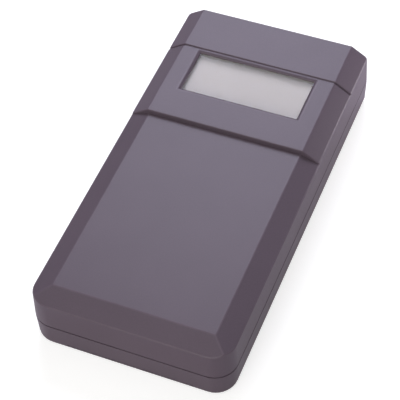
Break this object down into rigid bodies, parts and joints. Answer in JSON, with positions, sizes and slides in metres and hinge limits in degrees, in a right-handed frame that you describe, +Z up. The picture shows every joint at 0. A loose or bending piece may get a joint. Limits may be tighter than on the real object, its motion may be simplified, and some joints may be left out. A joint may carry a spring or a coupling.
{
  "type": "handheld enclosure",
  "caption": "Handheld instrument enclosure in two mouldings, with a bevelled display window on a raised hood, a blank keypad face, an end panel and a battery bay with a sliding door.",
  "frame": {"origin": "middle of the underside that the case rests on", "axes": "+Z up out of the keypad face, +Y along the case towards the display end, +X to the right"},
  "size_m": [0.09, 0.18, 0.0322],
  "materials": {
    "case": "fine moulded texture, dark violet grey",
    "lens": "clear acrylic, polished",
    "foam": "closed-cell foam",
    "steel": "zinc plated",
    "display": "light grey reflective display, satin",
    "contact_rubber": "layered conductive rubber",
    "board": "green solder mask",
    "resin": "black potting resin",
    "contact_fibre": "phenolic sheet",
    "contact_metal": "nickel plated"
  },
  "bodies": {
    "case": {"top_cover": "case", "base_shell": "case", "end_panel": "case", "display_window": "lens", "display_gasket": "foam", "display_frame": "steel", "display_glass": "display", "display_strips": "contact_rubber", "display_board": "board", "display_drivers": "resin", "display_screws": "steel", "contact_board": "contact_fibre", "contact_stud": "contact_metal", "contact_socket": "contact_metal", "case_screws": "steel"},
    "battery_door": {"battery_door": "case"}
  },
  "joints": [
    {"name": "battery_door_slide", "type": "slide", "parent": "case", "child": "battery_door", "axis": [0, -1, 0], "range_m": [0, 0.036]}
  ]
}
